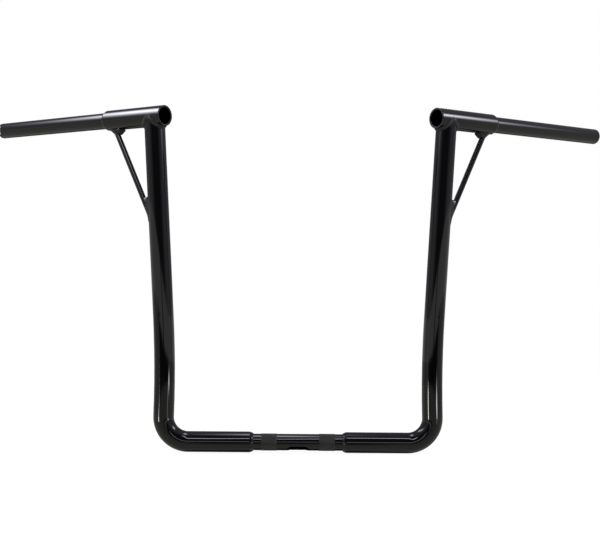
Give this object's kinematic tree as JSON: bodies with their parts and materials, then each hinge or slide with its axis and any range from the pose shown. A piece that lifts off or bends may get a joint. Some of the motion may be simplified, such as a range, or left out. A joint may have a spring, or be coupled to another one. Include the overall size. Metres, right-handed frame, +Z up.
{
  "type": "motorcycle handlebar",
  "caption": "Tall welded tube handlebar with a knurled clamp section, bent risers, open-mouthed swept cross tubes, grip tubes and slanted brace rods.",
  "frame": {"origin": "middle of the centre bar, on its axis, halfway between the two knurled clamp bands", "axes": "+X along the centre bar towards the side shown on the right, +Z up along the risers, +Y back towards the rider, the way the grips sweep"},
  "size_m": [1.0297, 0.2498, 0.5298],
  "materials": {
    "gloss_black": "gloss black paint over steel tube",
    "painted_bead": "gloss black paint over a rippled weld bead"
  },
  "bodies": {
    "root": {"centre_bar": "gloss_black", "riser_left": "gloss_black", "riser_right": "gloss_black", "cross_tube_left": "gloss_black", "cross_tube_right": "gloss_black", "grip_tube_left": "gloss_black", "grip_tube_right": "gloss_black", "brace_left": "gloss_black", "brace_right": "gloss_black", "leg_weld_left": "painted_bead", "leg_weld_right": "painted_bead", "saddle_weld_left": "painted_bead", "saddle_weld_right": "painted_bead", "grip_weld_left": "painted_bead", "grip_weld_right": "painted_bead", "brace_top_weld_left": "painted_bead", "brace_top_weld_right": "painted_bead", "brace_foot_weld_left": "painted_bead", "brace_foot_weld_right": "painted_bead"}
  },
  "joints": []
}
